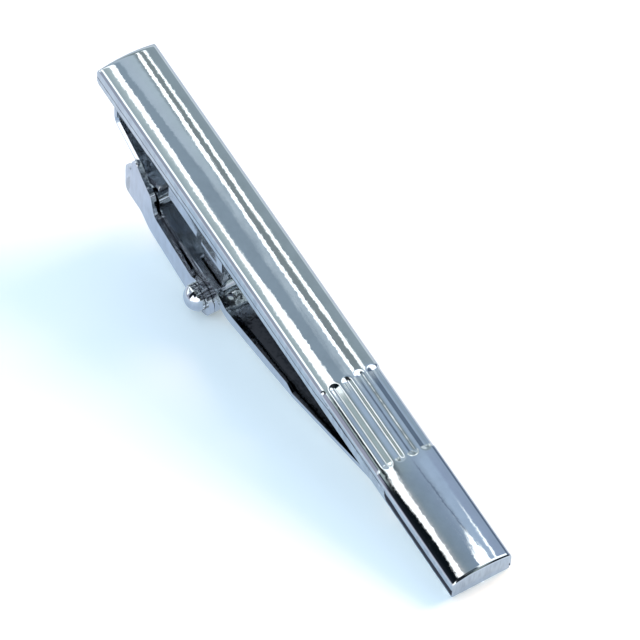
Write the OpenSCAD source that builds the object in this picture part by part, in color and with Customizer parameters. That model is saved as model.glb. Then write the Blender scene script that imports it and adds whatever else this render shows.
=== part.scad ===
// Tie clip: a fluted dress bar with a sprung jaw on its back.
// The pieces are drawn in the bar's own frame: x runs from the rear end to the front end,
// y across the bar, and z = 0 is the flat back, with the face up and the jaw below it.
// stand() then sets the clip down on the jaw's ears and the bar's front edge, as it lies on a table.
// All sizes are in millimetres.

/* [Bar] */
// Length of the bar
bar_len = 60.4; // [54.4:0.5:70.4]
// Width of the bar
bar_w = 6; // [5:0.1:7]
// Thickness of the bar at its crown, back plate included
bar_h = 2.75; // [2.5:0.05:3.2]
// Radius of the crowned face, seen from the end
crown_r = 10; // [8:0.5:30]
// Radius of the long shoulders
shoulder_r = 0.4; // [0.2:0.05:0.6]
// Wall of the face shell
shell_wall = 0.55; // [0.4:0.05:0.7]
// Radius of the rear end's top edge
rear_top_r = 0.6; // [0.4:0.1:1.2]
// Radius of the rear corners, seen from above
rear_corner_r = 0.15; // [0.1:0.05:0.8]
// Radius of the front end's top edge
front_top_r = 0.35; // [0.2:0.05:0.6]
// Radius of the front corners, seen from above
front_corner_r = 0.15; // [0.1:0.05:0.8]
// Thickness of the back plate
back_t = 1; // [0.6:0.05:1.1]
// Step of the back plate inside the shell's outline
back_step = 0.06; // [0.03:0.01:0.15]

/* [Flutes] */
// Length of the plain panel behind the flutes
rear_panel = 38.4; // [34:0.1:41]
// Length of the flutes
flute_len = 9.8; // [6:0.1:12]
// Number of flutes on the face
flute_count = 4; // [3:1:4]
// Distance between flutes
flute_pitch = 1.28; // [1.15:0.01:1.4]
// Radius of a flute's round bottom
flute_r = 0.6; // [0.45:0.05:0.65]
// Depth of a flute
flute_depth = 0.27; // [0.15:0.01:0.3]
// Radius of the flute along each shoulder
edge_flute_r = 0.45; // [0.3:0.05:0.6]

/* [Pivot pin] */
// Distance of the pin from the bar's rear end
pin_x = 19.2; // [18.5:0.1:22]
// Depth of the pin below the bar's back
pin_depth = 8.85; // [8.5:0.05:9.5]
// Radius of the pin
pin_r = 0.5; // [0.4:0.05:0.6]
// Running clearance round the pin in the bracket
pin_fit = 0.04; // [0.02:0.01:0.1]
// Clearance round the pin where it is staked
stake_fit = 0.01; // [0.01:0.01:0.03]
// Radius of the pin's domed heads
head_r = 1.3; // [0.8:0.05:1.3]
// Straight rim of a head
head_rim = 0.5; // [0.2:0.05:0.5]
// Rise of a head's dome
head_dome = 0.9; // [0.3:0.05:0.9]

/* [Bracket] */
// Distance of the bracket from the bar's rear end
bracket_x = 12.2; // [11.8:0.1:12.5]
// Length of the bracket
bracket_len = 9.3; // [9:0.1:11]
// Width over the bracket's foot
foot_w = 5.3; // [5.2:0.1:5.5]
// Depth of the bracket's foot
foot_depth = 2.45; // [2.2:0.05:3]
// Thickness of the bracket's sheet
bracket_t = 0.55; // [0.45:0.05:0.6]
// Radius of the bracket's ears round the pin
bracket_ear_r = 1.3; // [1.1:0.05:1.4]
// Width of the relief notch between foot and ear
notch_w = 0.75; // [0.5:0.05:1]
// Gap between the bracket's ears and the arm's ears
ear_gap = 0.12; // [0.08:0.01:0.2]

/* [Thumb lever] */
// Width over the lever's cheeks
lever_w = 7.1; // [7:0.1:7.8]
// Thickness of the lever's sheet
lever_t = 0.5; // [0.4:0.05:0.55]
// Distance of the thumb pad's end from the bar's rear end
pad_x = 5.4; // [4.8:0.1:5.6]
// Depth of the thumb pad's underside below the bar's back
pad_depth = 8.75; // [8.5:0.05:9.2]
// Depth of the pad's cheeks' upper edge below the bar's back
cheek_depth = 3.85; // [3.6:0.05:4.3]
// Lean of the pad's rear end
pad_lean = 0.9; // [0.7:0.1:1.1]
// Length of the pad's underside, up to where it falls towards the ears
pad_floor = 3.5; // [3.2:0.1:3.8]
// Radius of the pad's bends, seen from the side
bend_r = 0.75; // [0.6:0.05:0.8]
// Height of the pad's rear wall above its underside
rear_wall = 2.6; // [1.5:0.1:3]
// Length of the pad's tall cheeks
cheek_len = 5.1; // [4.8:0.1:5.4]
// Drop of the channel's upper edge on its way to the ears
cheek_drop = 0.8; // [0.5:0.05:0.9]
// Radius of the lever's ears round the pin
lever_ear_r = 1.95; // [1.8:0.05:2.1]
// Radius of the pad's rear corners, seen from below
pad_corner_r = 1; // [0.7:0.1:1.4]

/* [Jaw arm] */
// Thickness of the arm's sheet
arm_t = 0.6; // [0.5:0.05:0.65]
// Height of the stiffening rims above the arm's floor
rim_h = 0.65; // [0.4:0.05:0.8]
// Gap between the arm's sides and the lever's cheeks
nest_gap = 0.03; // [0.02:0.01:0.06]
// Distance of the rims' rear ends from the bar's rear end
arm_rear_x = 11.6; // [11.2:0.1:12]
// Outer radius of the roll at the arm's rear end
roll_r = 0.9; // [0.8:0.05:0.95]
// Wall of the roll
roll_t = 0.4; // [0.3:0.05:0.45]
// Width of the roll
roll_w = 5.8; // [5:0.1:5.9]
// Distance of the rims' front ends from the bar's rear end
rim_end_x = 34.3; // [31.3:0.5:38.3]
// Distance of the jaw's tip from the bar's rear end
tip_x = 48.8; // [44.3:0.5:52.3]
// Width of the arm at its tip
tip_w = 4.4; // [4:0.1:5]
// Depth of the arm's floor where it passes the pin
floor_depth = 6.3; // [6.1:0.05:6.5]
// Distance of the arm's knee in front of the pin
knee = 3.7; // [3:0.1:4.5]
// Drop of the arm's floor at the knee
knee_drop = 0.7; // [0.3:0.1:1]
// Number of teeth at the tip
tooth_count = 4; // [3:1:5]
// Distance between teeth
tooth_pitch = 0.7; // [0.6:0.05:0.8]
// Height of a tooth
tooth_h = 0.35; // [0.2:0.05:0.45]
// Gap between the closed teeth and the bar's back
jaw_gap = 0.08; // [0.05:0.01:0.2]
// Radius of the two relief holes in front of the arm's window
hole_r = 0.3; // [0.2:0.05:0.35]
// Distance of the relief holes in front of the window
hole_x = 0.7; // [0.6:0.05:0.9]

/* [Leaf spring] */
// Width of the leaf spring
spring_w = 5.4; // [5:0.1:5.6]
// Thickness of the leaf spring
spring_t = 0.4; // [0.3:0.05:0.45]
// Distance of the spring's bow from the bar's rear end
spring_x = 2.6; // [2.3:0.05:2.9]
// Depth of the spring's bow below the bar's back
spring_depth = 2.65; // [2.5:0.05:3]
// Length of the spring's lower leg, from the bow to its belly
spring_leg = 5.6; // [5.4:0.1:5.8]
// Fall of the lower leg
spring_fall = 2.5; // [2.3:0.1:2.6]
// Length of the spring's turned up end
spring_end = 2.45; // [2.2:0.05:2.5]
// Rise of the turned up end
spring_rise = 1.3; // [1.1:0.1:1.4]
// Gap between the spring's end and the arm's roll
spring_gap = 0.1; // [0.03:0.01:0.15]
// Gap on each side of the spring where it enters the lever's pad
spring_side_gap = 0.15; // [0.1:0.05:0.2]

/* [Hidden] */
$fn = 64;
bend_steps = 6;
// Length by which a cut runs past the solid that it cuts
slack = 1;

// Places across the clip
lever_in = lever_w / 2 - lever_t;
arm_side = lever_in - nest_gap;
arm_in = arm_side - arm_t;
ear_out = arm_in - ear_gap;
ear_in = ear_out - bracket_t;

// Places along the clip
flute_end = rear_panel + flute_len;
bracket_end = bracket_x + bracket_len;
knee_x = pin_x + knee;
back_end = bar_len - back_step;

// The arm's floor: its upper face past the pin, at the knee and at the tip
knee_floor = floor_depth + knee_drop;
tip_floor = jaw_gap + tooth_h;
jaw_slope = (knee_floor - tip_floor) / (tip_x - knee_x);
rim_foot = -knee_floor + jaw_slope * (rim_end_x - knee_x);

// The window in the floor: room for the bracket's ears, also with the jaw open
open_angle = 15;
window_rear = pin_x - bracket_ear_r - (pin_depth - floor_depth) * sin(open_angle) - 2 * ear_gap;
ear_lean = (bracket_end - pin_x - bracket_ear_r) / (pin_depth - foot_depth);
window_front = bracket_end - (floor_depth - foot_depth) * ear_lean + 2 * ear_gap;

// The leaf spring's belly and end, and the centre of the roll that the end presses on
spring_belly = [spring_x + spring_leg, -spring_depth - spring_fall];
spring_tip = spring_belly + [spring_end, spring_rise];
spring_run = unit(spring_tip - spring_belly);
spring_touch = spring_belly + 0.67 * (spring_tip - spring_belly);
roll_c = spring_touch + (roll_r + spring_gap) * [spring_run.y, -spring_run.x];

// The lever's underside between pad and ears
waist_x = pad_x + cheek_len;
waist_z = -pin_depth - lever_ear_r / 2;
ear_low = -pin_depth - lever_ear_r;

// How the clip lies: the line under the lever's ears and the bar's front edge
pin_reach = back_end - pin_x;
pin_dist = norm([pin_reach, pin_depth]);
tilt = atan(pin_depth / pin_reach) + asin(lever_ear_r / pin_dist);
front_over = (back_step - front_top_r) * cos(tilt) + (bar_h - front_top_r) * sin(tilt) + front_top_r;
stand_x = (back_end * cos(tilt) - front_over) / 2;

// Points of an arc of radius r that rounds the corner p between its neighbours
function unit(v) = v / norm(v);
function bend(before, p, after, r) =
    let (
        a = unit(before - p),
        b = unit(after - p),
        half = acos(a * b) / 2,
        centre = p + unit(a + b) * r / sin(half),
        start = p + a * r / tan(half) - centre,
        end = p + b * r / tan(half) - centre,
        from = atan2(start.y, start.x),
        turn = (atan2(end.y, end.x) - from + 540) % 360 - 180
    )
    [for (i = [0 : bend_steps]) centre + r * [cos(from + turn * i / bend_steps), sin(from + turn * i / bend_steps)]];
function flat(p) = [p.x, p.y];
// Closed outline from corners [x, z, radius]
function outline(c) =
    let (n = len(c))
    [for (i = [0 : n - 1]) each c[i][2] > 0
        ? bend(flat(c[(i + n - 1) % n]), flat(c[i]), flat(c[(i + 1) % n]), c[i][2])
        : [flat(c[i])]];
// Open line from corners [x, z, radius]
function bent_line(c) =
    let (n = len(c))
    [for (i = [0 : n - 1]) each (i > 0 && i < n - 1 && c[i][2] > 0)
        ? bend(flat(c[i - 1]), flat(c[i]), flat(c[i + 1]), c[i][2])
        : [flat(c[i])]];
// A line moved sideways by d, to the left of its run
function shifted(p, d) =
    let (n = len(p))
    [for (i = [0 : n - 1])
        let (
            u = unit(p[min(i + 1, n - 1)] - p[max(i - 1, 0)]),
            v = unit(p[min(i + 1, n - 1)] - p[min(i, n - 2)]),
            side = [-u.y, u.x]
        )
        p[i] + side * d / max(0.5, u * v)];
// Strip between a line and the same line moved by t
function strip(p, t) =
    let (q = shifted(p, t), n = len(p))
    concat(p, [for (i = [0 : n - 1]) q[n - 1 - i]]);

// Solid of a side outline, w wide and centred on the bar
module side(points, w) {
    rotate([90, 0, 0])
        linear_extrude(w, center = true)
            polygon(points);
}
// Round bar across the clip at x, z
module across(x, z, r, w) {
    translate([x, 0, z])
        rotate([90, 0, 0])
            cylinder(h = w, r = r, center = true);
}
// The same solid on both sides of the clip
module both_sides() {
    children();
    mirror([0, 1, 0]) children();
}
module stand() {
    translate([stand_x, 0, 0])
        rotate([0, tilt, 0])
            translate([-back_end, 0, 0])
                children();
}

// The bar's outline seen from above, drawn in by d
module plan(d, low, high) {
    translate([0, 0, low])
        linear_extrude(high - low)
            polygon(outline([
                [d, -bar_w / 2 + d, rear_corner_r],
                [bar_len - d, -bar_w / 2 + d, front_corner_r],
                [bar_len - d, bar_w / 2 - d, front_corner_r],
                [d, bar_w / 2 - d, rear_corner_r],
            ]));
}
// Height of the crowned face at y
function face_z(y) = bar_h - crown_r + sqrt(crown_r * crown_r - y * y);
module crown_section() {
    shoulder_top = face_z(bar_w / 2);
    intersection() {
        translate([0, bar_h - crown_r]) circle(crown_r, $fn = 360);
        polygon(outline([
            [-bar_w / 2, back_t, 0],
            [bar_w / 2, back_t, 0],
            [bar_w / 2, shoulder_top, shoulder_r],
            [bar_w / 2 - 2 * shoulder_r, shoulder_top + slack, 0],
            [2 * shoulder_r - bar_w / 2, shoulder_top + slack, 0],
            [-bar_w / 2, shoulder_top, shoulder_r],
        ]));
    }
}
module flute(y, z, r) {
    translate([rear_panel + r, y, z]) {
        rotate([0, 90, 0]) cylinder(h = flute_len - 2 * r, r = r);
        sphere(r);
        translate([flute_len - 2 * r, 0, 0]) sphere(r);
    }
}
module flutes() {
    for (i = [0 : flute_count - 1]) {
        y = (i - (flute_count - 1) / 2) * flute_pitch;
        flute(y, face_z(y) + flute_r - flute_depth, flute_r);
    }
    both_sides() flute(bar_w / 2 + edge_flute_r * 0.35, face_z(bar_w / 2) + edge_flute_r * 0.1, edge_flute_r);
}

module face_shell() {
    color([0.74, 0.78, 0.82])
        stand()
            difference() {
                intersection() {
                    rotate([90, 0, 90]) linear_extrude(bar_len) crown_section();
                    plan(0, 0, bar_h + slack);
                    side(outline([
                        [0, 0, 0],
                        [bar_len, 0, 0],
                        [bar_len, bar_h, front_top_r],
                        [0, bar_h, rear_top_r],
                    ]), bar_w + slack);
                }
                plan(shell_wall, back_t - slack, bar_h - flute_depth - shell_wall - 0.2);
                flutes();
            }
}

module back_plate() {
    color([0.7, 0.74, 0.79])
        stand() plan(back_step, 0, back_t);
}

// One foot wall and ear: the foot stands on the bar's back, and steps in to the ear
module bracket_side() {
    // foot wall with the relief notch
    difference() {
        translate([bracket_x, foot_w / 2 - bracket_t, -foot_depth])
            cube([bracket_len, bracket_t, foot_depth]);
        translate([pin_x - bracket_ear_r - notch_w, foot_w / 2 - bracket_t - slack, -foot_depth - slack])
            cube([notch_w, bracket_t + 2 * slack, foot_depth - 1 + slack]);
    }
    // ledge that joins the foot wall to the ear
    translate([pin_x - bracket_ear_r, ear_in, -foot_depth])
        cube([bracket_end - pin_x + bracket_ear_r, foot_w / 2 - ear_in, bracket_t]);
    // ear down to the pin
    translate([0, ear_out, 0])
        rotate([90, 0, 0])
            linear_extrude(bracket_t) {
                polygon([
                    [pin_x - bracket_ear_r, -foot_depth + bracket_t],
                    [pin_x - bracket_ear_r, -pin_depth],
                    [pin_x + bracket_ear_r, -pin_depth],
                    [bracket_end, -foot_depth],
                    [bracket_end, -foot_depth + bracket_t],
                ]);
                translate([pin_x, -pin_depth]) circle(bracket_ear_r);
            }
}
module hinge_bracket() {
    color([0.6, 0.64, 0.69])
        stand()
            difference() {
                union() {
                    translate([bracket_x, -foot_w / 2, -bracket_t])
                        cube([bracket_len, foot_w, bracket_t]);
                    both_sides() bracket_side();
                }
                across(pin_x, -pin_depth, pin_r + pin_fit, lever_w);
            }
}

// Side outline of the lever, its underside and rear end drawn in by d
function lever_outline(d) = outline([
    [pad_x + pad_lean + d, -cheek_depth + d, bend_r],
    [pad_x + d, -0.75 * pad_depth, 2 * bend_r],
    [pad_x + pad_lean / 2 + d, -pad_depth + d, 2 * bend_r],
    [pad_x + pad_floor, -pad_depth + d, 2 * bend_r],
    [waist_x, waist_z + d, lever_ear_r],
    [pin_x - 0.75 * lever_ear_r, ear_low + d, bend_r],
    [pin_x, ear_low + d, 0],
    [pin_x, ear_low + 2 * lever_ear_r, 0],
    [pin_x - lever_ear_r / 2, -floor_depth - 1.5 * cheek_drop, bend_r],
    [waist_x + bend_r, -floor_depth - cheek_drop / 3, bend_r],
    [waist_x, -cheek_depth + d, bend_r],
]);
// The lever's outline seen from above, drawn in by d
module lever_plan(d) {
    translate([0, 0, ear_low - slack])
        linear_extrude(-ear_low + 2 * slack)
            polygon(outline([
                [pad_x + d, -lever_w / 2 + d, pad_corner_r - d],
                [pin_x + 2 * lever_ear_r, -lever_w / 2 + d, 0],
                [pin_x + 2 * lever_ear_r, lever_w / 2 - d, 0],
                [pad_x + d, lever_w / 2 - d, pad_corner_r - d],
            ]));
}
module thumb_lever() {
    wall_top = -pad_depth + rear_wall;
    color([0.72, 0.75, 0.84])
        stand()
            difference() {
                intersection() {
                    union() {
                        side(lever_outline(0), lever_w);
                        across(pin_x, -pin_depth, lever_ear_r, lever_w);
                    }
                    lever_plan(0);
                }
                // the channel between the cheeks
                intersection() {
                    union() {
                        side(lever_outline(lever_t), 2 * lever_in);
                        translate([pad_x + lever_t, -lever_in, wall_top])
                            cube([pin_x - pad_x, 2 * lever_in, pin_depth]);
                    }
                    lever_plan(lever_t);
                }
                // open rear end above the rear wall, where the leaf spring comes in
                translate([pad_x - slack, -spring_w / 2 - spring_side_gap, wall_top])
                    cube([cheek_len, spring_w + 2 * spring_side_gap, pin_depth]);
                // open front, past the end of the lever's floor
                translate([pin_x - bracket_ear_r - 0.5, -lever_in, -pin_depth - 2 * lever_ear_r])
                    cube([4 * lever_ear_r, 2 * lever_in, 4 * lever_ear_r]);
                across(pin_x, -pin_depth, pin_r + stake_fit, lever_w + slack);
            }
}

// The upper face of the arm's floor, from the roll to the tip
arm_line = bent_line([
    [roll_c.x, roll_c.y - roll_r + arm_t, 0],
    [arm_rear_x + 1, -floor_depth, 1],
    [pin_x + 0.6 * knee, -floor_depth, 1.5],
    [knee_x, -knee_floor, 1.5],
    [tip_x, -tip_floor, 0],
]);
module arm_plan() {
    translate([0, 0, -2 * pin_depth])
        linear_extrude(2 * pin_depth + slack)
            polygon(outline([
                [roll_c.x - roll_r, -roll_w / 2, 0],
                [arm_rear_x, -roll_w / 2, 0],
                [arm_rear_x, -arm_side, 0],
                [rim_end_x, -arm_side, 0],
                [tip_x, -tip_w / 2, 0.8],
                [tip_x, tip_w / 2, 0.8],
                [rim_end_x, arm_side, 0],
                [arm_rear_x, arm_side, 0],
                [arm_rear_x, roll_w / 2, 0],
                [roll_c.x - roll_r, roll_w / 2, 0],
            ]));
}
module jaw_arm() {
    color([0.68, 0.72, 0.77])
        stand()
            difference() {
                union() {
                    // floor, and the roll at its rear end
                    intersection() {
                        side(strip(arm_line, -arm_t), 2 * arm_side + slack);
                        arm_plan();
                    }
                    across(roll_c.x, roll_c.y, roll_r, roll_w);
                    // rims and ears
                    both_sides()
                        translate([0, arm_side, 0])
                            rotate([90, 0, 0])
                                linear_extrude(arm_t) {
                                    intersection() {
                                        union() {
                                            polygon(strip(arm_line, -arm_t));
                                            polygon(strip(arm_line, rim_h));
                                        }
                                        // the rims' front ends slope down to the floor
                                        polygon([
                                            [arm_rear_x, -2 * pin_depth],
                                            [rim_end_x, -2 * pin_depth],
                                            [rim_end_x, rim_foot],
                                            [rim_end_x - 4 * rim_h, rim_foot + 2 * rim_h],
                                            [rim_end_x - 4 * rim_h, 0],
                                            [arm_rear_x, 0],
                                        ]);
                                    }
                                    translate([pin_x, -pin_depth]) circle(lever_ear_r);
                                    translate([pin_x - lever_ear_r, -pin_depth])
                                        square([2 * lever_ear_r, pin_depth - floor_depth]);
                                }
                    // teeth at the tip
                    for (i = [0 : tooth_count - 1])
                        translate([tip_x - 0.15 - i * tooth_pitch, 0, 0])
                            side([
                                [-tooth_pitch * 0.75, -tip_floor - jaw_slope * (i + 1) * tooth_pitch],
                                [0, -tip_floor - jaw_slope * (i * tooth_pitch + 0.15) - arm_t / 2],
                                [0, -tip_floor - jaw_slope * (i * tooth_pitch + 0.15) + tooth_h],
                            ], tip_w - 1.2);
                }
                across(roll_c.x, roll_c.y, roll_r - roll_t, roll_w + slack);
                // window for the bracket's ears
                translate([window_rear, -arm_in, -pin_depth])
                    cube([window_front - window_rear, 2 * arm_in, pin_depth]);
                // relief holes
                both_sides()
                    translate([window_front + hole_x, arm_in - 2 * hole_r, -pin_depth])
                        cylinder(h = pin_depth, r = hole_r);
                across(pin_x, -pin_depth, pin_r + stake_fit, lever_w);
            }
}

module pivot_pin() {
    dome_r = (head_r * head_r + head_dome * head_dome) / (2 * head_dome);
    head_y = lever_w / 2;
    color([0.8, 0.82, 0.86])
        stand()
            translate([pin_x, 0, -pin_depth])
                rotate([90, 0, 0]) {
                    cylinder(h = lever_w, r = pin_r, center = true);
                    for (end = [0, 1])
                        mirror([0, 0, end])
                            translate([0, 0, head_y]) {
                                cylinder(h = head_rim, r = head_r);
                                intersection() {
                                    translate([0, 0, head_rim + head_dome - dome_r]) sphere(dome_r);
                                    translate([0, 0, head_rim]) cylinder(h = head_dome, r = head_r);
                                }
                            }
                }
}

module leaf_spring() {
    color([0.64, 0.68, 0.73])
        stand()
            side(strip(bent_line([
                [bracket_x - 0.15, 0, 0],
                [spring_x, 0, 0.7],
                [spring_x, -spring_depth, 1],
                [spring_belly.x, spring_belly.y, 2],
                [spring_tip.x, spring_tip.y, 0],
            ]), spring_t), spring_w);
}

face_shell();
back_plate();
hinge_bracket();
thumb_lever();
jaw_arm();
pivot_pin();
leaf_spring();
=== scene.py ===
import math
import bmesh
import bpy
from mathutils import Matrix, Vector


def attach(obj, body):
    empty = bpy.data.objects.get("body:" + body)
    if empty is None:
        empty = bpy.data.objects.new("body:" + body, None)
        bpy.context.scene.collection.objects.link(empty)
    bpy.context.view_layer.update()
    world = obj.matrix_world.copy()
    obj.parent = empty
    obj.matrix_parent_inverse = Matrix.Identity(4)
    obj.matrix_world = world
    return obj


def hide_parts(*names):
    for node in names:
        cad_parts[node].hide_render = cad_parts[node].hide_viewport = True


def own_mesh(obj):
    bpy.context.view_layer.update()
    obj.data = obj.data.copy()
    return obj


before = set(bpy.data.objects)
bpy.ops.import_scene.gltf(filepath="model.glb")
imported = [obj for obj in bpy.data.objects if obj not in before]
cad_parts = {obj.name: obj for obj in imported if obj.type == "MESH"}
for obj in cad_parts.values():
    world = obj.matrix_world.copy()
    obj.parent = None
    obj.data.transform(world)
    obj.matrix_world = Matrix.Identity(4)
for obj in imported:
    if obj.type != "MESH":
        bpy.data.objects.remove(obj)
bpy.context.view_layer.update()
bpy.ops.object.select_all(action="DESELECT")
print("frame loaded")

mm = 0.001
snap = 1e-7  # how close to a point a cut takes that point instead
span = 60  # the length that profiles along the bar cover, in mm
# pieces are shaped in the bar's own frame: rear end at x = 0, flat back at z = 0, face up
barTilt = math.radians(14.796386)
frontFoot, frontOnTable = 60.34, 28.828278  # the bar's front lower edge, along the bar and on the table
barToTable = (Matrix.Translation((frontOnTable * mm, 0, 0)) @ Matrix.Rotation(barTilt, 4, "Y")
              @ Matrix.Translation((-frontFoot * mm, 0, 0)))
tableToBar = barToTable.inverted()
barUp = Vector((math.sin(barTilt), 0, math.cos(barTilt)))
barForward = (barToTable.to_3x3() @ Vector((1, 0, 0))).normalized()


def choose(piece):
    bpy.ops.object.select_all(action="DESELECT")
    piece.select_set(True)
    bpy.context.view_layer.objects.active = piece


def startEdit(piece):
    choose(piece)
    bpy.ops.object.mode_set(mode="EDIT")


def endEdit():
    bpy.ops.object.mode_set(mode="OBJECT")


# selects what passes the test; points are in mm
def pick(piece, kind, test):
    bpy.ops.mesh.select_mode(type=kind)
    bpy.ops.mesh.select_all(action="DESELECT")
    shape = bmesh.from_edit_mesh(piece.data)
    if kind == "VERT":
        for point in shape.verts:
            if not point.hide and test(point.co / mm):
                point.select_set(True)
    if kind == "EDGE":
        for edge in shape.edges:
            if not edge.hide and test(edge.verts[0].co / mm, edge.verts[1].co / mm):
                edge.select_set(True)
    if kind == "FACE":
        for face in shape.faces:
            if not face.hide and test(face.calc_center_median() / mm, face.normal):
                face.select_set(True)
    bmesh.update_edit_mesh(piece.data)


def near(a, b, gap=0.002):
    return abs(a - b) < gap


# cuts the selected faces by a plane
def cut(point, normal):
    bpy.ops.mesh.bisect(plane_co=point, plane_no=normal, threshold=snap)


def addBox(name, low, high):
    middle = [(a + b) / 2 * mm for a, b in zip(low, high)]
    size = [(b - a) * mm for a, b in zip(low, high)]
    bpy.ops.mesh.primitive_cube_add(size=1, location=middle, scale=size)
    bpy.ops.object.transform_apply(location=True, rotation=True, scale=True)
    piece = bpy.context.object
    piece.name = name
    return piece


def addModifier(piece, kind, **values):
    choose(piece)
    modifier = piece.modifiers.new(kind.lower(), kind)
    for key, value in values.items():
        setattr(modifier, key, value)
    bpy.ops.object.modifier_apply(modifier=modifier.name)


# sets the piece down on the table, names its body, its CAD node and its finish
def place(piece, body, node, finish, smooth=35):
    choose(piece)
    piece.matrix_world = barToTable
    bpy.ops.object.transform_apply(location=True, rotation=True, scale=True)
    finishPiece(piece, body, node, finish, smooth)


def finishPiece(piece, body, node, finish, smooth=35):
    choose(piece)
    bpy.ops.object.shade_smooth_by_angle(angle=math.radians(smooth))
    piece.data.materials.clear()
    piece.data.materials.append(finish)
    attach(piece, body)
    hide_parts(node)
    piece.select_set(False)


# a socket that takes part in sums
class Wire:
    def __init__(self, sheet, socket):
        self.sheet = sheet
        self.socket = socket

    def sum(self, operation, first, second=0):
        return self.sheet.node("ShaderNodeMath", {"operation": operation}, {0: first, 1: second})

    def __add__(self, other):
        return self.sum("ADD", self, other)

    __radd__ = __add__

    def __sub__(self, other):
        return self.sum("SUBTRACT", self, other)

    def __rsub__(self, other):
        return self.sum("SUBTRACT", other, self)

    def __mul__(self, other):
        return self.sum("MULTIPLY", self, other)

    __rmul__ = __mul__

    def towards(self, other):
        return self.sum("ARCTAN2", self, other)

    def __abs__(self):
        return self.sum("ABSOLUTE", self)

    def __lt__(self, other):
        return self.sum("LESS_THAN", self, other)

    def __gt__(self, other):
        return self.sum("GREATER_THAN", self, other)


class Sheet:
    def __init__(self, tree):
        self.tree = tree

    def put(self, socket, value):
        if isinstance(value, Wire):
            self.tree.links.new(value.socket, socket)
        else:
            socket.default_value = value

    # settings are set first, then the values or links of the sockets
    def node(self, kind, settings, inputs, output=0):
        made = self.tree.nodes.new(kind)
        for key, value in settings.items():
            if key == "stops":
                ramp = made.color_ramp
                while len(ramp.elements) < len(value):
                    ramp.elements.new(0.5)
                for stop, (position, shade) in zip(ramp.elements, value):
                    stop.position = position
                    stop.color = (shade, shade, shade, 1)
            else:
                setattr(made, key, value)
        for key, value in inputs.items():
            self.put(made.inputs[key], value)
        return Wire(self, made.outputs[output])

    def noise(self, spot, scale, detail, roughness=0.5):
        return self.node("ShaderNodeTexNoise", {}, {
            "Vector": spot, "Scale": scale, "Detail": detail, "Roughness": roughness})

    def vector(self, operation, first, second=(0, 0, 0), output="Vector"):
        return self.node("ShaderNodeVectorMath", {"operation": operation}, {0: first, 1: second}, output)

    def dot(self, direction, axis):
        return self.vector("DOT_PRODUCT", direction, tuple(axis), "Value")

    def row(self, x, y, z):
        return self.node("ShaderNodeCombineXYZ", {}, {0: x, 1: y, 2: z})

    def part(self, direction, axis):
        return self.node("ShaderNodeSeparateXYZ", {}, {0: direction}, axis)

    def path(self, name):
        return self.node("ShaderNodeLightPath", {}, {}, name)

    def ramp(self, value, stops):
        return self.node("ShaderNodeValToRGB", {"stops": stops}, {0: value})

    def colours(self, value, stops):
        made = self.ramp(value, [(spot, 0) for spot, shade in stops])
        for stop, (spot, shade) in zip(made.socket.node.color_ramp.elements, stops):
            stop.color = (*shade, 1)
        return made

    # a number that changes along the bar, through a ramp that holds what lies from low to high
    def profile(self, value, points, low, high):
        stops = [(spot / span, (number - low) / (high - low)) for spot, number in points]
        return self.ramp(value * (1 / span), stops) * (high - low) + low

    # 0 below low, 1 above high, smooth between them
    def rise(self, value, low, high):
        return self.node("ShaderNodeMapRange", {"interpolation_type": "SMOOTHSTEP"}, {0: value, 1: low, 2: high})

    # 1 from low to high, 0 outside, with soft ends
    def between(self, value, low, high, soft):
        return self.rise(value, low - soft, low + soft) * (1 - self.rise(value, high - soft, high + soft))

    def mixColour(self, factor, first, second, blend="MIX"):
        made = self.node("ShaderNodeMix", {"data_type": "RGBA", "blend_type": blend}, {0: factor}, 2)
        self.put(made.socket.node.inputs[6], first)
        self.put(made.socket.node.inputs[7], second)
        return made


# marks that all the plated pieces share; a noise is given by its scale, detail and roughness
plating = dict(
    smudge=(0.5, 4, 0.6), smudgeStops=[(0.4, 0), (0.65, 1)], smudgeShare=0.5, dull=0.86,
    rub=(9, 3, 0.7), rubStretch=(0.12, 1, 1), rubStops=[(0.6, 0), (0.72, 1)],
    ripple=(2, 0.4),
    pitScale=3.1, pitStops=[(0.02, 1), (0.08, 0)], pitShare=0.3,
    shelterSamples=16, sideSlope=(0.2, 0.6), sideCalm=0.65, lean=(2.8, 3, 0.65),
    streak=(1, 3, 0.65), streakStretch=(1.4, 1.4, 0.25), streakStops=[(0.4, 0), (0.7, 1)],
    streakTint=(0.35, 0.37, 0.45, 1),
    floorShadeEdge=1, floorShadeStops=[(0.6, 0), (0.75, 1)], floorShadeTint=(0.03, 0.032, 0.04, 1),
    seamShadeHeights=(0, 2), seamShadeWave=0.2, seamShadeEdge=0.05, seamShadeStops=[(0.6, 0), (0.8, 1)], seamShadeTint=(0.02, 0.022, 0.04, 1),
    seamShadeRough=0.7,
)
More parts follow.
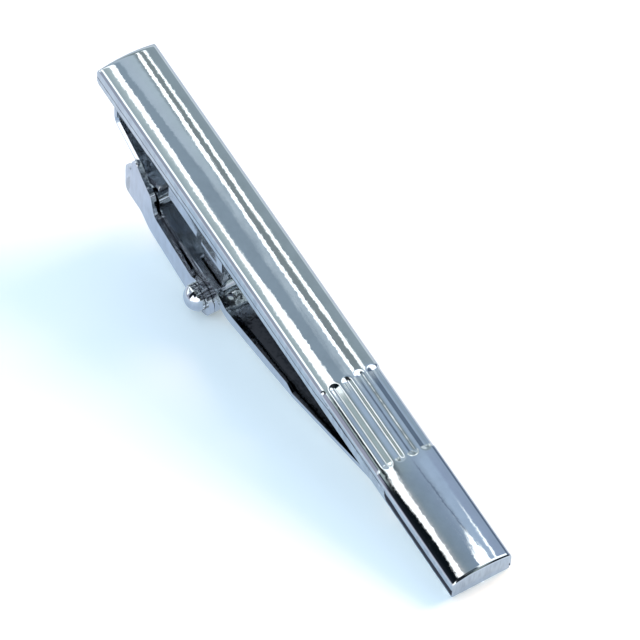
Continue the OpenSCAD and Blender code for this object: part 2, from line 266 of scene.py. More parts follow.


# plated metal: tint, gloss, ripples of the pressed sheet, rubbing marks, smudges, painted shade in the recesses and on
# the arm's floor, a painted tint on the side walls, the dark seam that widens into painted shade at the front
def chromeFinish(name, look):
    p = plating
    material = bpy.data.materials.new(name)
    material.use_nodes = True
    sheet = Sheet(material.node_tree)
    shader = material.node_tree.nodes["Principled BSDF"]
    spot = sheet.node("ShaderNodeTexCoord", {}, {}, "Object")
    along = sheet.node("ShaderNodeMapping", {}, {
        "Vector": spot, "Location": tuple(tableToBar.translation / mm), "Rotation": (0, -barTilt, 0),
        "Scale": (1 / mm, 1 / mm, 1 / mm)})
    smudge = sheet.noise(along, *p["smudge"])
    rubbed = sheet.noise(sheet.vector("MULTIPLY", along, p["rubStretch"]), *p["rub"])
    ripple = sheet.noise(along, look["rippleScale"], *p["ripple"])
    pits = sheet.node("ShaderNodeTexVoronoi", {}, {"Vector": along, "Scale": p["pitScale"]})
    smudgeMask = sheet.ramp(smudge, p["smudgeStops"])
    rubMask = sheet.ramp(rubbed, p["rubStops"])
    pitMask = sheet.ramp(pits, p["pitStops"])
    dull = (*[value * p["dull"] for value in look["tint"]], 1)
    colour = sheet.mixColour(smudgeMask * p["smudgeShare"] + pitMask * p["pitShare"], (*look["tint"], 1), dull)
    # painted shade: the colour turns towards the recess shade tint where other parts shelter the surface
    if look["recess"] > 0:
        shelter = sheet.node(
            "ShaderNodeAmbientOcclusion", {"samples": p["shelterSamples"]}, {"Distance": look["recess"] * mm}, "AO")
        colour = sheet.mixColour(sheet.ramp(shelter, look["recessShadeStops"]), (*look["recessShadeTint"], 1), colour)
    # the side walls get a painted tint, a bluish painted shade for the shaded table they mirror, and upright streaks
    facing = sheet.node("ShaderNodeNewGeometry", {}, {}, "Normal")
    upright = sheet.dot(facing, barUp)
    flat, steep = p["sideSlope"]
    sideways = 1 - sheet.node("ShaderNodeMapRange", {}, {0: abs(upright), 1: flat, 2: steep})
    colour = sheet.mixColour(sideways, colour, (*look["sideShadeTint"], 1), "MULTIPLY")
    wall = sheet.noise(sheet.vector("MULTIPLY", along, p["streakStretch"]), *p["streak"])
    colour = sheet.mixColour(sideways * sheet.ramp(wall, p["streakStops"]) * look["streaks"], colour, p["streakTint"])
    # painted shade: a dark patch on the arm's upward-facing floor over a stretch along the bar
    if "floorShade" in look:
        reach = sheet.between(sheet.part(along, "X"), *look["floorShade"], p["floorShadeEdge"])
        colour = sheet.mixColour(reach * sheet.ramp(upright, p["floorShadeStops"]), colour, p["floorShadeTint"])
    shader.inputs["Metallic"].default_value = 1
    gloss = look["rough"] + smudgeMask * look["smudge"] + rubMask * look["smudge"]
    # a dark seam line on the side walls; at the front it widens into a painted band of shade, where the metal turns
    # dull and rough
    if look["seam"]:
        outward = abs(sheet.dot(facing, (0, 1, 0)))
        length = sheet.part(along, "X")
        low = sheet.profile(length, [(point[0], point[1]) for point in look["seam"]], *p["seamShadeHeights"])
        high = sheet.profile(length, [(point[0], point[2]) for point in look["seam"]], *p["seamShadeHeights"])
        level = sheet.part(along, "Z") + (wall - 0.5) * p["seamShadeWave"]
        line = sheet.between(level, low, high, p["seamShadeEdge"]) * sheet.ramp(outward, p["seamShadeStops"])
        colour = sheet.mixColour(line, colour, p["seamShadeTint"])
        gloss = gloss + line * p["seamShadeRough"]
        sheet.put(shader.inputs["Metallic"], 1 - line)
    height = ripple * look["ripple"] + rubbed * look["scratch"] - pitMask * look["scratch"]
    bump = sheet.node("ShaderNodeBump", {}, {"Strength": 1, "Distance": mm, "Height": height})
    # the skin leans a little to either side, which frays the edges of what it mirrors
    uneven = (sheet.noise(along, *p["lean"]) - 0.5) * look["uneven"] * (1 - sideways * p["sideCalm"])
    leaning = sheet.vector("ADD", bump, sheet.row(0, uneven, 0))
    sheet.put(shader.inputs["Base Color"], colour)
    sheet.put(shader.inputs["Roughness"], gloss)
    sheet.put(shader.inputs["Normal"], sheet.vector("NORMALIZE", leaning))
    return material


# the dark seam on the side walls, a thin joint line that widens at the front into a painted band of shade: length along
# the bar, its lower and upper edge
seamAndShadeLine = [
    (0, 1.12, 1.24), (38, 1.14, 1.26), (40, 1.55, 1.68), (48, 1.58, 1.7), (49.2, 1.58, 1.7), (49.6, 0.55, 1.42),
    (60, 0.5, 1.36)]
# recess: pieces below the face get painted shade, darker where others shelter them within so many mm; ripple and
# scratch are heights in mm; smudge is what smudges and rubbing add to the roughness; uneven is how far the skin leans
recessed = dict(
    recess=3, recessShadeTint=(0.015, 0.018, 0.028), sideShadeTint=(0.92, 0.94, 0.99), streaks=0.3, seam=[], uneven=0.36)
tight = {**recessed, "recess": 1.5}
looks = dict(
    face=dict(
        tint=(0.76, 0.79, 0.82), sideShadeTint=(0.92, 0.95, 0.98), streaks=0.5, seam=seamAndShadeLine, recess=0,
        rough=0.012, smudge=0.01, uneven=0.04, ripple=0.001, rippleScale=0.5, scratch=0.0002),
    back=dict(
        {**recessed, "recess": 0}, seam=seamAndShadeLine, tint=(0.72, 0.76, 0.8),
        rough=0.08, smudge=0.05, ripple=0.004, rippleScale=0.6, scratch=0.001),
    bracket=dict(
        recessed, recessShadeStops=[(0.1, 0), (0.45, 1)], tint=(0.66, 0.7, 0.76),
        rough=0.12, smudge=0.08, ripple=0.01, rippleScale=0.9, scratch=0.0015),
    lever=dict(
        tight, recessShadeStops=[(0.25, 0), (0.6, 1)], tint=(0.74, 0.77, 0.84),
        rough=0.09, smudge=0.05, ripple=0.012, rippleScale=0.7, scratch=0.001),
    arm=dict(
        tight, floorShade=(24, 60), recessShadeStops=[(0.3, 0), (0.7, 1)], tint=(0.7, 0.74, 0.8),
        rough=0.1, smudge=0.06, ripple=0.012, rippleScale=0.9, scratch=0.001),
    pin=dict(
        recessed, recessShadeStops=[(0.1, 0), (0.45, 1)], tint=(0.76, 0.79, 0.83),
        rough=0.08, smudge=0.04, ripple=0.01, rippleScale=1.4, scratch=0.001),
    spring=dict(
        tight, recessShadeStops=[(0.12, 0), (0.4, 1)], tint=(0.66, 0.7, 0.76),
        rough=0.12, smudge=0.07, ripple=0.012, rippleScale=0.8, scratch=0.0015),
)
finishes = {part: chromeFinish(part + "_chrome_look", look) for part, look in looks.items()}
print("finishes made")

# the pressed face of the bar; rows of lines are given as first, step and count
faceShape = dict(
    length=60.4, width=6, top=2.75, bottom=1, crown=10, shoulder=0.4, rearEdge=0.6, frontEdge=0.35,
    rearCorner=0.15, frontCorner=0.15, roundSteps=8, wall=0.5, roof=1.68,
    fluteStart=38.4, fluteLength=9.8, flutePlaces=(-1.728, -0.448, 0.832, 2.112), fluteHalf=0.56, fluteDepth=0.1,
    edgeFrom=0.24, edgeCut=0.06, edgeHalf=0.3,
    lineStep=0.064, sideLines=40, endLines=(0.04, 0.15), rearLines=(2, 3.5, 11), nearFlutes=(-0.26, 0.064, 22),
    midFlutes=(1.3, 0.9, 9), farFlutes=(-1.1, 0.064, 22), frontLines=(1.2, 2.2, 6),
)


def makeFaceShell():
    s = faceShape
    length, half, top, step = s["length"], s["width"] / 2, s["top"], s["lineStep"]
    piece = addBox("face_shell_pressed", (0, -half, s["bottom"]), (length, half, top))
    startEdit(piece)
    # how far each edge is rolled over
    rolled = [
        (s["rearCorner"], lambda a, b: near(a.x, 0) and near(b.x, 0) and near(a.y, b.y)),
        (s["frontCorner"], lambda a, b: near(a.x, length) and near(b.x, length) and near(a.y, b.y)),
        (s["shoulder"], lambda a, b: near(a.z, top) and near(b.z, top) and near(a.y, b.y)),
        (s["rearEdge"], lambda a, b: near(a.z, top) and near(b.z, top) and near(a.x, 0) and near(b.x, 0)),
        (s["frontEdge"], lambda a, b: near(a.z, top) and near(b.z, top) and near(a.x, length) and near(b.x, length)),
    ]
    for width, test in rolled:
        pick(piece, "EDGE", test)
        bpy.ops.transform.edge_bevelweight(value=width)
    endEdit()
    addModifier(piece, "BEVEL", width=mm, segments=s["roundSteps"], limit_method="WEIGHT", use_clamp_overlap=False)
    startEdit(piece)
    # hollow from below
    pick(piece, "FACE", lambda c, n: n.z < -0.9)
    bpy.ops.mesh.inset(thickness=s["wall"] * mm)
    bpy.ops.mesh.extrude_region_move(TRANSFORM_OT_translate={"value": (0, 0, (s["roof"] - s["bottom"]) * mm)})

    # lines across and along the face, close together at the ends of the flutes
    def lines(start, first, gap, count):
        return [start + first + gap * i for i in range(count)]

    fluteEnd = s["fluteStart"] + s["fluteLength"]
    across = [s["rearEdge"] + gap for gap in s["endLines"]] + [length - s["frontEdge"] - gap for gap in s["endLines"]]
    across += lines(0, *s["rearLines"])
    across += lines(s["fluteStart"], *s["nearFlutes"]) + lines(s["fluteStart"], *s["midFlutes"])
    across += lines(fluteEnd, *s["farFlutes"]) + lines(fluteEnd, *s["frontLines"])
    along = [step * i for i in range(-s["sideLines"], s["sideLines"] + 1)]
    for places, normal in ((across, (1, 0, 0)), (along, (0, 1, 0))):
        for spot in places:
            pick(piece, "FACE", lambda c, n: n.z > 0.02 or (n.z > -0.02 and c.z > s["roof"] + 0.2 and abs(n.z) > 1e-4))
            cut(Vector(normal) * spot * mm, normal)
    # the crown, then the flutes pressed into it
    pick(piece, "FACE", lambda c, n: n.z <= 0.02)
    bpy.ops.mesh.hide(unselected=False)
    pick(piece, "VERT", lambda c: near(c.y, 0))
    radius = s["crown"] * mm
    bpy.ops.transform.translate(
        value=(0, 0, radius), use_proportional_edit=True, proportional_edit_falloff="SPHERE", proportional_size=radius)
    bpy.ops.mesh.select_all(action="SELECT")
    bpy.ops.transform.translate(value=(0, 0, -radius))
    start, end = s["fluteStart"] + s["fluteHalf"], fluteEnd - s["fluteHalf"]
    for spot in s["flutePlaces"]:
        pick(piece, "VERT", lambda c: abs(c.y - spot) < step / 2 and start - 0.02 < c.x < end + 0.02)
        bpy.ops.transform.translate(
            value=(0, 0, -s["fluteDepth"] * mm), use_proportional_edit=True,
            proportional_edit_falloff="SMOOTH", proportional_size=s["fluteHalf"] * mm)
    for side in (-1, 1):
        pick(piece, "VERT", lambda c: c.y * side > half - s["edgeFrom"] and start - 0.1 < c.x < end + 0.1)
        bpy.ops.transform.translate(
            value=(0, -side * s["edgeCut"] * mm, -s["edgeCut"] * mm), use_proportional_edit=True,
            proportional_edit_falloff="SMOOTH", proportional_size=s["edgeHalf"] * mm)
    bpy.ops.mesh.reveal(select=False)
    endEdit()
    return piece


face = makeFaceShell()
place(face, "bar", "face_shell", finishes["face"])
print("face shell made", len(face.data.polygons))

# the plate behind it, with a groove along the seam; parts of the groove are given as start, end and depth
backShape = dict(
    length=(0.06, 60.34), half=2.93, thick=1, corner=0.15, cornerSteps=4, ease=0.08, easeSteps=3,
    groove=(0.72, 0.99), grooveLip=0.01, parts=((0, 38.5, 0.05), (49.5, 60, 0.24)))


def makeBackPlate():
    s = backShape
    piece = addBox("back_plate_grooved", (s["length"][0], -s["half"], 0), (s["length"][1], s["half"], s["thick"]))
    startEdit(piece)
    pick(piece, "EDGE", lambda a, b: near(a.x, b.x) and near(a.y, b.y))
    bpy.ops.mesh.bevel(offset=s["corner"] * mm, segments=s["cornerSteps"])
    for height in s["groove"]:
        bpy.ops.mesh.select_all(action="SELECT")
        cut((0, 0, height * mm), (0, 0, 1))
    for start, end, depth in s["parts"]:
        for spot in (start, end):
            bpy.ops.mesh.select_all(action="SELECT")
            cut((spot * mm, 0, 0), (1, 0, 0))
        pick(piece, "FACE", lambda c, n: (
            s["groove"][0] < c.z < s["groove"][1] and abs(n.z) < 0.1 and start < c.x < end and abs(n.x) < 0.9))
        bpy.ops.mesh.inset(thickness=s["grooveLip"] * mm, depth=-depth * mm)
    pick(piece, "EDGE", lambda a, b: near(a.z, 0) and near(b.z, 0) and (abs(a.y) > s["half"] - 0.2 or near(a.x, b.x)))
    bpy.ops.mesh.bevel(offset=s["ease"] * mm, segments=s["easeSteps"])
    endEdit()
    return piece


backPlate = makeBackPlate()
place(backPlate, "bar", "back_plate", finishes["back"])
print("back plate made", len(backPlate.data.polygons))

# the leaf spring: a strip folded round under the bar's rear end; its lower leg starts at the path's foldEnd
springShape = dict(
    path=[
        (12, -0.25), (3.55, -0.25), (3.12, -0.3), (2.92, -0.45), (2.86, -0.72), (2.86, -2.05), (2.94, -2.4),
        (3.1, -2.6), (3.3, -2.73), (7.39, -4.52), (7.8, -4.62), (8.18, -4.65), (8.7, -4.53), (10.55, -3.62)],
    foldEnd=5, width=5.4, lines=(-2.4, 0.6, 9), thick=0.48, cut=0.24, ease=0.04, sharp=50, smooth=15)


def makeSpring():
    s = springShape
    half = s["width"] / 2
    bpy.ops.mesh.primitive_plane_add(size=1, location=(s["path"][0][0] * mm, 0, s["path"][0][1] * mm))
    bpy.ops.object.transform_apply(location=True, rotation=True, scale=True)
    piece = bpy.context.object
    piece.name = "leaf_spring_strip"
    startEdit(piece)
    # the plane becomes the strip's first edge, which is then drawn along the path
    pick(piece, "VERT", lambda c: c.x > s["path"][0][0])
    bpy.ops.mesh.delete(type="VERT")
    pick(piece, "VERT", lambda c: True)
    bpy.ops.transform.resize(value=(1, s["width"] * mm, 1), center_override=(0, 0, 0))
    bpy.ops.transform.translate(value=(0.5, 0, 0))
    for (x0, z0), (x1, z1) in zip(s["path"], s["path"][1:]):
        pick(piece, "EDGE", lambda a, b: near(a.x, x0) and near(b.x, x0) and near(a.z, z0) and near(b.z, z0))
        bpy.ops.mesh.extrude_region_move(TRANSFORM_OT_translate={"value": ((x1 - x0) * mm, 0, (z1 - z0) * mm)})
    bpy.ops.mesh.select_all(action="SELECT")
    bpy.ops.mesh.normals_make_consistent(inside=False)
    first, gap, count = s["lines"]
    for i in range(count):
        bpy.ops.mesh.select_all(action="SELECT")
        cut((0, (gap * i + first) * mm, 0), (0, 1, 0))
    endEdit()
    addModifier(piece, "SOLIDIFY", thickness=s["thick"] * mm, offset=0)
    lower = s["path"][s["foldEnd"]:]

    # height of the lower leg's middle
    def middle(spot):
        return max([
            z0 + (z1 - z0) * (spot - x0) / (x1 - x0)
            for (x0, z0), (x1, z1) in zip(lower, lower[1:]) if x0 <= spot <= x1] or [0])

    # the lower leg's upper edges are cut slanting
    startEdit(piece)
    pick(piece, "EDGE", lambda a, b: (
        near(abs(a.y), half) and near(a.y, b.y) and all(middle(p.x) + 0.05 < p.z < -0.9 for p in (a, b))))
    bpy.ops.mesh.bevel(offset=s["cut"] * mm, segments=1)
    endEdit()
    addModifier(
        piece, "BEVEL", width=s["ease"] * mm, segments=1, limit_method="ANGLE", angle_limit=math.radians(s["sharp"]))
    return piece


spring = makeSpring()
place(spring, "bar", "leaf_spring", finishes["spring"], smooth=springShape["smooth"])
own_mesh(spring)
print("spring made", len(spring.data.polygons))

# the thumb pad's cheeks: how far they stand up at some lengths along the bar, and how the rear wall's top is pulled in
cheekShape = dict(
    top=-4.3, levels=(-4.4, -4.9, -5.5, -6.2, -7), reach=(5, 12), levelEnd=10, rimEnd=10.5,
    rearTop=6.62, rearForward=0.35, rearDown=0.55, rearSoft=1.6,
    rise=[
        (6.3, 0), (6.7, 0.35), (7, 0.95), (7.3, 1.5), (7.7, 1.8), (8.1, 1.65), (8.5, 1.3), (8.9, 0.95), (9.3, 0.6),
        (9.7, 0.3), (10.1, 0)])


def raiseCheeks(piece):
    s = cheekShape

    def onBar(c):
        return tableToBar @ (c * mm) / mm

    for spot, rise in s["rise"]:
        pick(piece, "FACE", lambda c, n: s["reach"][0] < onBar(c).x < s["reach"][1])
        cut(barToTable @ Vector((spot * mm, 0, 0)), barForward)
    for height in s["levels"]:
        pick(piece, "FACE", lambda c, n: onBar(c).x < s["levelEnd"])
        cut(barToTable @ Vector((0, 0, height * mm)), barUp)
    pick(piece, "VERT", lambda c: onBar(c).x < s["rearTop"] and onBar(c).z > s["top"])
    bpy.ops.transform.translate(
        value=tuple(barForward * s["rearForward"] * mm - barUp * s["rearDown"] * mm), use_proportional_edit=True,
        proportional_edit_falloff="SMOOTH", proportional_size=s["rearSoft"] * mm)

    def rimSpot(c):
        spot = onBar(c)
        return round(spot.x, 1) if spot.z > s["top"] and spot.x < s["rimEnd"] else None

    # each point of the rim goes up by what the rise says at its length along the bar
    rim = {rimSpot(point.co / mm) for point in bmesh.from_edit_mesh(piece.data).verts} - {None}
    for (x0, rise0), (x1, rise1) in zip(s["rise"], s["rise"][1:]):
        for spot in sorted(rim):
            if x0 < spot <= x1:
                pick(piece, "VERT", lambda c: rimSpot(c) == spot)
                rise = rise0 + (rise1 - rise0) * (spot - x0) / (x1 - x0)
                bpy.ops.transform.translate(value=tuple(barUp * rise * mm))


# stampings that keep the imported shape: node, body, finish, how far the edges are eased and in how many steps
stampings = (
    ("hinge_bracket", "bar", "bracket", 0.12, 1),
    ("thumb_lever", "clamp", "lever", 0.16, 1),
    ("jaw_arm", "clamp", "arm", 0.17, 1),
    ("pivot_pin", "clamp", "pin", 0.06, 3),
)
easing = dict(merge=0.002, flat=0.6, sharp=38)


def easedCopy(node, name, ease, segments):
    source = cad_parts[node]
    piece = bpy.data.objects.new(name, source.data.copy())
    bpy.context.collection.objects.link(piece)
    startEdit(piece)
    bpy.ops.mesh.select_all(action="SELECT")
    bpy.ops.mesh.remove_doubles(threshold=easing["merge"] * mm)
    bpy.ops.mesh.normals_make_consistent(inside=False)
    bpy.ops.mesh.dissolve_limited(angle_limit=math.radians(easing["flat"]))
    if node == "thumb_lever":
        raiseCheeks(piece)
    endEdit()
    sharp = math.radians(easing["sharp"])
    addModifier(piece, "BEVEL", width=ease * mm, segments=segments, limit_method="ANGLE", angle_limit=sharp)
    return piece


for node, body, finish, ease, segments in stampings:
    piece = easedCopy(node, node + "_eased", ease, segments)
    finishPiece(piece, body, node, finishes[finish])
print("stampings made")

# the table: white to the camera, a shade darker in the metal; under the bar, where parts mirror each other, the metal
# sees painted reflections on it:
# painted dark for the shade between parts, greenish patches and glowing specks for glints; size and drop are in metres,
# a noise is given by its scale and detail
tableLook = dict(
    size=4, drop=0.00002, rough=0.9, shine=0.1, firstMirror=1.5,
    seen=(0.9, 0.91, 0.95, 1), mirrored=(0.3, 0.32, 0.38, 1), lift=(0.23, 0.28, 0.3, 1),
    mirroredLift=(0.38, 0.46, 0.52, 1), patches=(420, 2), patchStops=[(0.43, 0), (0.53, 1)],
    specks=(1300, 2), speckStops=[(0.57, 0), (0.6, 1)],
    deep=(0.015, 0.018, 0.025, 1), patch=(0.6, 0.72, 0.68, 1), speck=(2, 2.1, 2.1, 1),
)


def makeTable():
    t = tableLook
    bpy.ops.mesh.primitive_plane_add(size=t["size"], location=(0, 0, -t["drop"]))
    piece = bpy.context.object
    piece.name = "table"
    material = bpy.data.materials.new("table_white")
    material.use_nodes = True
    sheet = Sheet(material.node_tree)
    shader = material.node_tree.nodes["Principled BSDF"]
    for name, value in (("Roughness", t["rough"]), ("Specular IOR Level", t["shine"]), ("Emission Strength", 1)):
        shader.inputs[name].default_value = value
    byCamera = sheet.path("Is Camera Ray")
    once = sheet.path("Ray Depth") < t["firstMirror"]
    dark = (0, 0, 0, 1)
    mirrored = sheet.mixColour(once, dark, t["mirrored"])
    sheet.put(shader.inputs["Base Color"], sheet.mixColour(byCamera, mirrored, t["seen"]))
    spread = sheet.node("ShaderNodeTexCoord", {}, {}, "Object")
    patches = sheet.ramp(sheet.noise(spread, *t["patches"]), t["patchStops"])
    specks = sheet.ramp(sheet.noise(spread, *t["specks"]), t["speckStops"])
    # painted reflections, seen only after more than one mirror: dark shade with greenish patches and glowing specks of
    # painted glint
    deep = sheet.mixColour(specks, sheet.mixColour(patches, t["deep"], t["patch"]), t["speck"])
    seenLift = sheet.mixColour(byCamera, dark, t["lift"])
    mirroredLift = sheet.mixColour(once, deep, t["mirroredLift"])
    lift = sheet.mixColour(sheet.path("Is Glossy Ray"), seenLift, mirroredLift)
    sheet.put(shader.inputs["Emission Color"], lift)
    piece.data.materials.append(material)
    return piece


table = makeTable()

# light: a bluish room and one lamp; the metal sees the room's walls and bars of light
# angles go round the bar's length in degrees, 0 straight above its face, and lengths along it are in mm
rearWall = [
    (-90, (0.4, 0.42, 0.52)), (-44, (0.36, 0.43, 0.52)), (-42, (1.5, 1.6, 1.6)), (-14.5, (1.5, 1.6, 1.6)),
    (-13.3, (0.4, 0.49, 0.53)), (-9, (0.44, 0.54, 0.57)), (-4, (0.6, 0.7, 0.72)), (1, (0.3, 0.39, 0.48)),
    (5, (0.36, 0.46, 0.55)), (9, (0.47, 0.57, 0.66)), (14, (0.5, 0.6, 0.69)), (22, (0.5, 0.61, 0.68)),
    (24, (0.38, 0.47, 0.53)), (26, (0.26, 0.31, 0.33)), (34, (0.26, 0.31, 0.32)), (38, (0.3, 0.38, 0.42)),
    (50, (0.33, 0.41, 0.46)), (54, (0.45, 0.55, 0.6)), (60, (0.8, 0.9, 0.95)), (90, (0.5, 0.56, 0.64)),
]
frontWall = [
    (-90, (0.4, 0.42, 0.52)), (-86, (0.5, 0.54, 0.66)), (-78, (0.02, 0.025, 0.035)), (-8.2, (0.004, 0.007, 0.01)),
    (-0.8, (0.004, 0.007, 0.01)), (-0.6, (0.6, 0.62, 0.62)), (0.8, (0.42, 0.46, 0.5)), (3, (0.3, 0.37, 0.42)),
    (6, (0.26, 0.34, 0.41)), (14, (0.27, 0.36, 0.46)), (20, (0.29, 0.38, 0.5)), (25, (0.35, 0.45, 0.58)),
    (29, (0.43, 0.55, 0.71)), (37, (0.42, 0.54, 0.71)), (40, (0.35, 0.44, 0.6)), (51, (0.33, 0.42, 0.56)),
    (53, (0.12, 0.17, 0.24)), (90, (0.16, 0.2, 0.3)),
]
fluteWall = [
    (-90, (0.4, 0.42, 0.52)), (-60, (0.3, 0.32, 0.42)), (-50, (0.03, 0.035, 0.05)), (-35, (0.03, 0.035, 0.05)),
    (-32, (0.4, 0.5, 0.52)), (-11, (0.42, 0.5, 0.5)), (-10.3, (0.03, 0.035, 0.04)), (-8.6, (0.03, 0.035, 0.04)),
    (-7.5, (0.42, 0.5, 0.5)), (1.5, (0.4, 0.46, 0.48)), (3, (0.14, 0.17, 0.19)), (6, (0.3, 0.38, 0.42)),
    (14, (0.32, 0.42, 0.5)), (25, (0.35, 0.45, 0.58)), (37, (0.42, 0.54, 0.68)), (51, (0.33, 0.42, 0.56)),
    (53, (0.12, 0.17, 0.24)), (90, (0.2, 0.26, 0.36)),
]
clampWall = [
    (-90, (1.2, 1.25, 1.4)), (-80, (1.7, 1.75, 1.8)), (-14, (1.7, 1.75, 1.75)), (-10, (0.02, 0.025, 0.035)),
    (8, (0.02, 0.025, 0.035)), (15, (0.2, 0.26, 0.27)), (24, (0.42, 0.5, 0.48)), (30, (0.25, 0.3, 0.32)),
    (36, (0.02, 0.025, 0.035)), (90, (0.02, 0.025, 0.035)),
]
# from which length on each wall is seen, and its soft edge
walls = ((rearWall, -4000, 1), (fluteWall, 38.6, 0.6), (frontWall, 48.5, 0.4), (clampWall, 500, 20))
# each bar of light or dark: middle and half of its width at some lengths, edge, colour, first and last length
bars = dict(
    darkFacet=dict(
        middle=[(0, 3), (6, 4.5), (12, 6.3), (17, 8.4), (40, 8.4)],
        half=[(0, 3.4), (6, 4.9), (12, 6.5), (17, 8.6), (40, 8.6)],
        edge=0.7, colour=(0.29, 0.375, 0.45), ends=(-60, 38.6)),
    leftLight=dict(
        middle=[
            (0, -2.1), (12, -2.1), (17, -3.6), (21, -3.9), (25, -3), (30, -2.6), (40, -2.6), (48, -2.6), (49.2, -5.1),
            (52, -3.9), (58, -3.1), (60, -4.1)],
        half=[
            (0, 2.7), (12, 2.4), (17, 1.6), (21, 1.6), (25, 2.5), (30, 4.2), (40, 4), (48, 4), (49.2, 4.4),
            (52, 3.2), (58, 2.5), (60, 3.4)],
        edge=0.25, colour=(1.7, 1.75, 1.75), ends=(-400, 170)),
    rightLight=dict(
        middle=[(0, 28.9), (6, 27.8), (12, 26.2), (18, 25.5), (24, 24.2), (40, 24.2)],
        half=[(0, 1.6), (12, 2.1), (24, 1.5), (40, 1.5)], edge=0.3, colour=(2, 2.1, 2.1), ends=(-60, 38.6)),
    outerLight=dict(
        middle=[(0, 36.9), (12, 36.2), (24, 35.1), (36, 35.8)], half=[(0, 1.5), (8, 1.5), (14, 2), (40, 2)],
        edge=0.4, colour=(1.6, 1.7, 1.7), ends=(-60, 38.6)),
    hairline=dict(
        middle=[(48, 22.2), (57, 26.2)], half=[(48, 0.5), (57, 0.6)],
        edge=0.2, colour=(0.14, 0.19, 0.27), ends=(48.6, 57.5)),
    frontGlint=dict(
        middle=[(55, 26), (60, 24)], half=[(56.5, 0), (57.6, 2.2), (58.6, 2.8), (59.2, 6), (60, 6.6)],
        edge=0.25, colour=(2, 2.1, 2.1), ends=(57, 200)),
    rearEdges=dict(
        middle=[(0, -70), (60, -70)], half=[(0, 18), (60, 18)], edge=1, colour=(1.8, 1.85, 1.9), ends=(250, 4000)),
    armEdges=dict(
        middle=[(0, -75), (60, -75)], half=[(0, 16), (60, 16)], edge=1, colour=(1.3, 1.4, 1.45), ends=(-400, -70)),
    frontStreak=dict(
        middle=[(54, 37.2), (60, 36.4)], half=[(54, 0), (57, 0.9), (60, 1.1)],
        edge=0.4, colour=(1.6, 1.7, 1.7), ends=(54, 200)),
)
# each patch: first and last length and soft edge, first and last angle and soft edge, share, colour; one that has stops
# shows in streaks
patches = dict(
    haze=dict(along=(15, 38.6, 3), round=(15, 23.5, 1), share=0.75, colour=(0.34, 0.43, 0.51, 1)),
    feather=dict(
        along=(14, 38.4, 3), round=(13.5, 22.5, 1.5), share=0.85, colour=(0.62, 0.72, 0.8, 1),
        stops=[(0.44, 0), (0.56, 1)]),
    glow=dict(along=(74, 440, 8), round=(14, 48, 3), share=1, colour=(1.8, 1.9, 1.9, 1), stops=[(0.35, 0), (0.5, 1)]),
    shade=dict(along=(180, 420, 20), round=(-12, 13, 3), share=1, colour=(0.03, 0.035, 0.04, 1)),
)
# a direction's part along the bar, moved by shift, becomes a length by stretch; middles and halves are the ranges that
# the ramps hold, arc is how far round the walls go, and the swings of shimmer and sway are in degrees
roomLook = dict(
    shift=0.478, stretch=612, middles=(-200, 200), halves=(0, 100), lastLength=9000, endSoft=0.5, arc=180,
    tint=(0.63, 0.81, 0.96, 1), backdrop=(1, 1, 1, 1), gridRound=0.35, shimmer=(2, 3, 0.7), shimmerSwing=7,
    sway=(0.12, 1, 0.5), swaySwing=2,
    streak=(1, 4, 0.6), streakAlong=1.6, streakLean=0.2, streakRound=0.1, streakLayer=4,
    laterMirrors=2.5, specks=(11, 2, 0.6), speckStops=[(0.57, 0), (0.61, 1)], deep=(0.015, 0.02, 0.03, 1),
    speck=(1.5, 1.6, 1.6, 1),
)


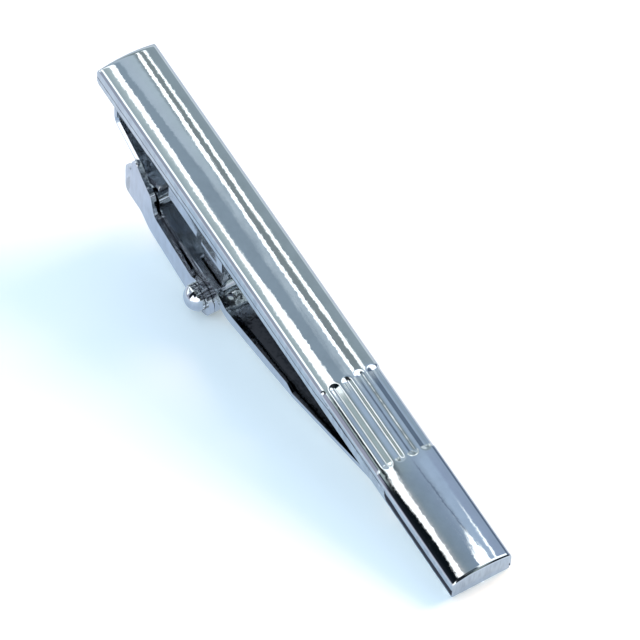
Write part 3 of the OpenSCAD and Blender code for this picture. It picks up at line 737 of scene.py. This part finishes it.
def paintRoom():
    r = roomLook
    world = bpy.data.worlds.new("studio")
    bpy.context.scene.world = world
    world.use_nodes = True
    room = Sheet(world.node_tree)
    direction = room.node("ShaderNodeTexCoord", {}, {}, "Generated")
    along = (room.dot(direction, barForward) + r["shift"]) * r["stretch"]
    turn = room.dot(direction, (0, 1, 0)).towards(room.dot(direction, barUp)) * (180 / math.pi)
    grid = room.row(along, turn * r["gridRound"], 0)
    shimmer = room.noise(grid, *r["shimmer"]) - 0.5
    sway = room.noise(grid, *r["sway"]) - 0.5
    angle = turn + shimmer * r["shimmerSwing"] + sway * r["swaySwing"]
    leaning = along * r["streakAlong"] + turn * r["streakLean"]
    streaks = room.noise(room.row(leaning, turn * r["streakRound"], r["streakLayer"]), *r["streak"])

    # lays a patch over a colour
    def lay(patch, colour):
        share = room.between(along, *patch["along"]) * room.between(turn, *patch["round"]) * patch["share"]
        if "stops" in patch:
            share = share * room.ramp(streaks, patch["stops"])
        return room.mixColour(share, colour, patch["colour"])

    colour = r["tint"]
    for wall, start, soft in walls:
        stops = [(spot / r["arc"] + 0.5, shade) for spot, shade in wall]
        painted = room.colours((turn + shimmer) * (1 / r["arc"]) + 0.5, stops)
        colour = room.mixColour(room.between(along, start, r["lastLength"], soft), colour, painted)
    colour = lay(patches["haze"], colour)
    for name, bar in bars.items():
        middle = room.profile(along, bar["middle"], *r["middles"])
        half = room.profile(along, bar["half"], *r["halves"])
        inside = room.rise(half - abs(angle - middle), -bar["edge"], bar["edge"])
        share = inside * room.between(along, *bar["ends"], r["endSoft"])
        colour = room.mixColour(share, colour, (*bar["colour"], 1))
        if name == "darkFacet":
            colour = lay(patches["feather"], colour)
    colour = lay(patches["shade"], lay(patches["glow"], colour))
    # between two parts the metal mirrors only dark gaps and a few specks of light
    specks = room.ramp(room.noise(direction, *r["specks"]), r["speckStops"])
    inner = room.mixColour(specks, r["deep"], r["speck"])
    colour = room.mixColour(room.path("Ray Depth") > r["laterMirrors"], colour, inner)
    # other surfaces are lit by the room's tint alone, and the camera sees a plain backdrop
    colour = room.mixColour(room.path("Is Glossy Ray"), r["tint"], colour)
    colour = room.mixColour(room.path("Is Camera Ray"), colour, r["backdrop"])
    room.put(world.node_tree.nodes["Background"].inputs["Color"], colour)


paintRoom()
print("table and room made")

# a round lamp that isn't itself seen, pointed at the clip; away and size are in metres
lampLook = dict(way=(0.26, 1.42, 1), away=0.9, size=0.5, power=7.4, colour=(1, 0.56, 0.2))


def addLamp(name):
    look = lampLook
    bpy.ops.object.light_add(type="AREA")
    lamp = bpy.context.object
    lamp.name = name
    for key, value in (("shape", "DISK"), ("size", look["size"]), ("color", look["colour"]), ("energy", look["power"])):
        setattr(lamp.data, key, value)
    way = Vector(look["way"]).normalized()
    turned = way.to_track_quat("Z", "Y").to_matrix().to_4x4()
    lamp.matrix_world = Matrix.Translation(way * look["away"]) @ turned
    lamp.visible_camera = False
    lamp.visible_glossy = False


addLamp("lowLamp")

# the camera stands where the photograph was taken from; its place, in mm, and its directions are in the bar's own frame
view = dict(
    place=(244.479, -141.901, 429.3228), right=(0.515356, 0.856444, 0.030192), up=(-0.74344, 0.429278, 0.512853),
    back=(0.426269, -0.286747, 0.857946), lens=322.215, sensor=36, nearest=0.01, farthest=20)
bpy.ops.object.camera_add()
camera = bpy.context.object
camera.name = "photoCamera"
turned = Matrix((view["right"], view["up"], view["back"])).transposed().to_4x4()
camera.matrix_world = barToTable @ Matrix.Translation(Vector(view["place"]) * mm) @ turned
camera.data.sensor_width = view["sensor"]
camera.data.lens = view["lens"]
camera.data.clip_start = view["nearest"]
camera.data.clip_end = view["farthest"]
bpy.context.scene.camera = camera
bpy.context.scene.view_settings.view_transform = "Standard"
print("lamp and camera set")
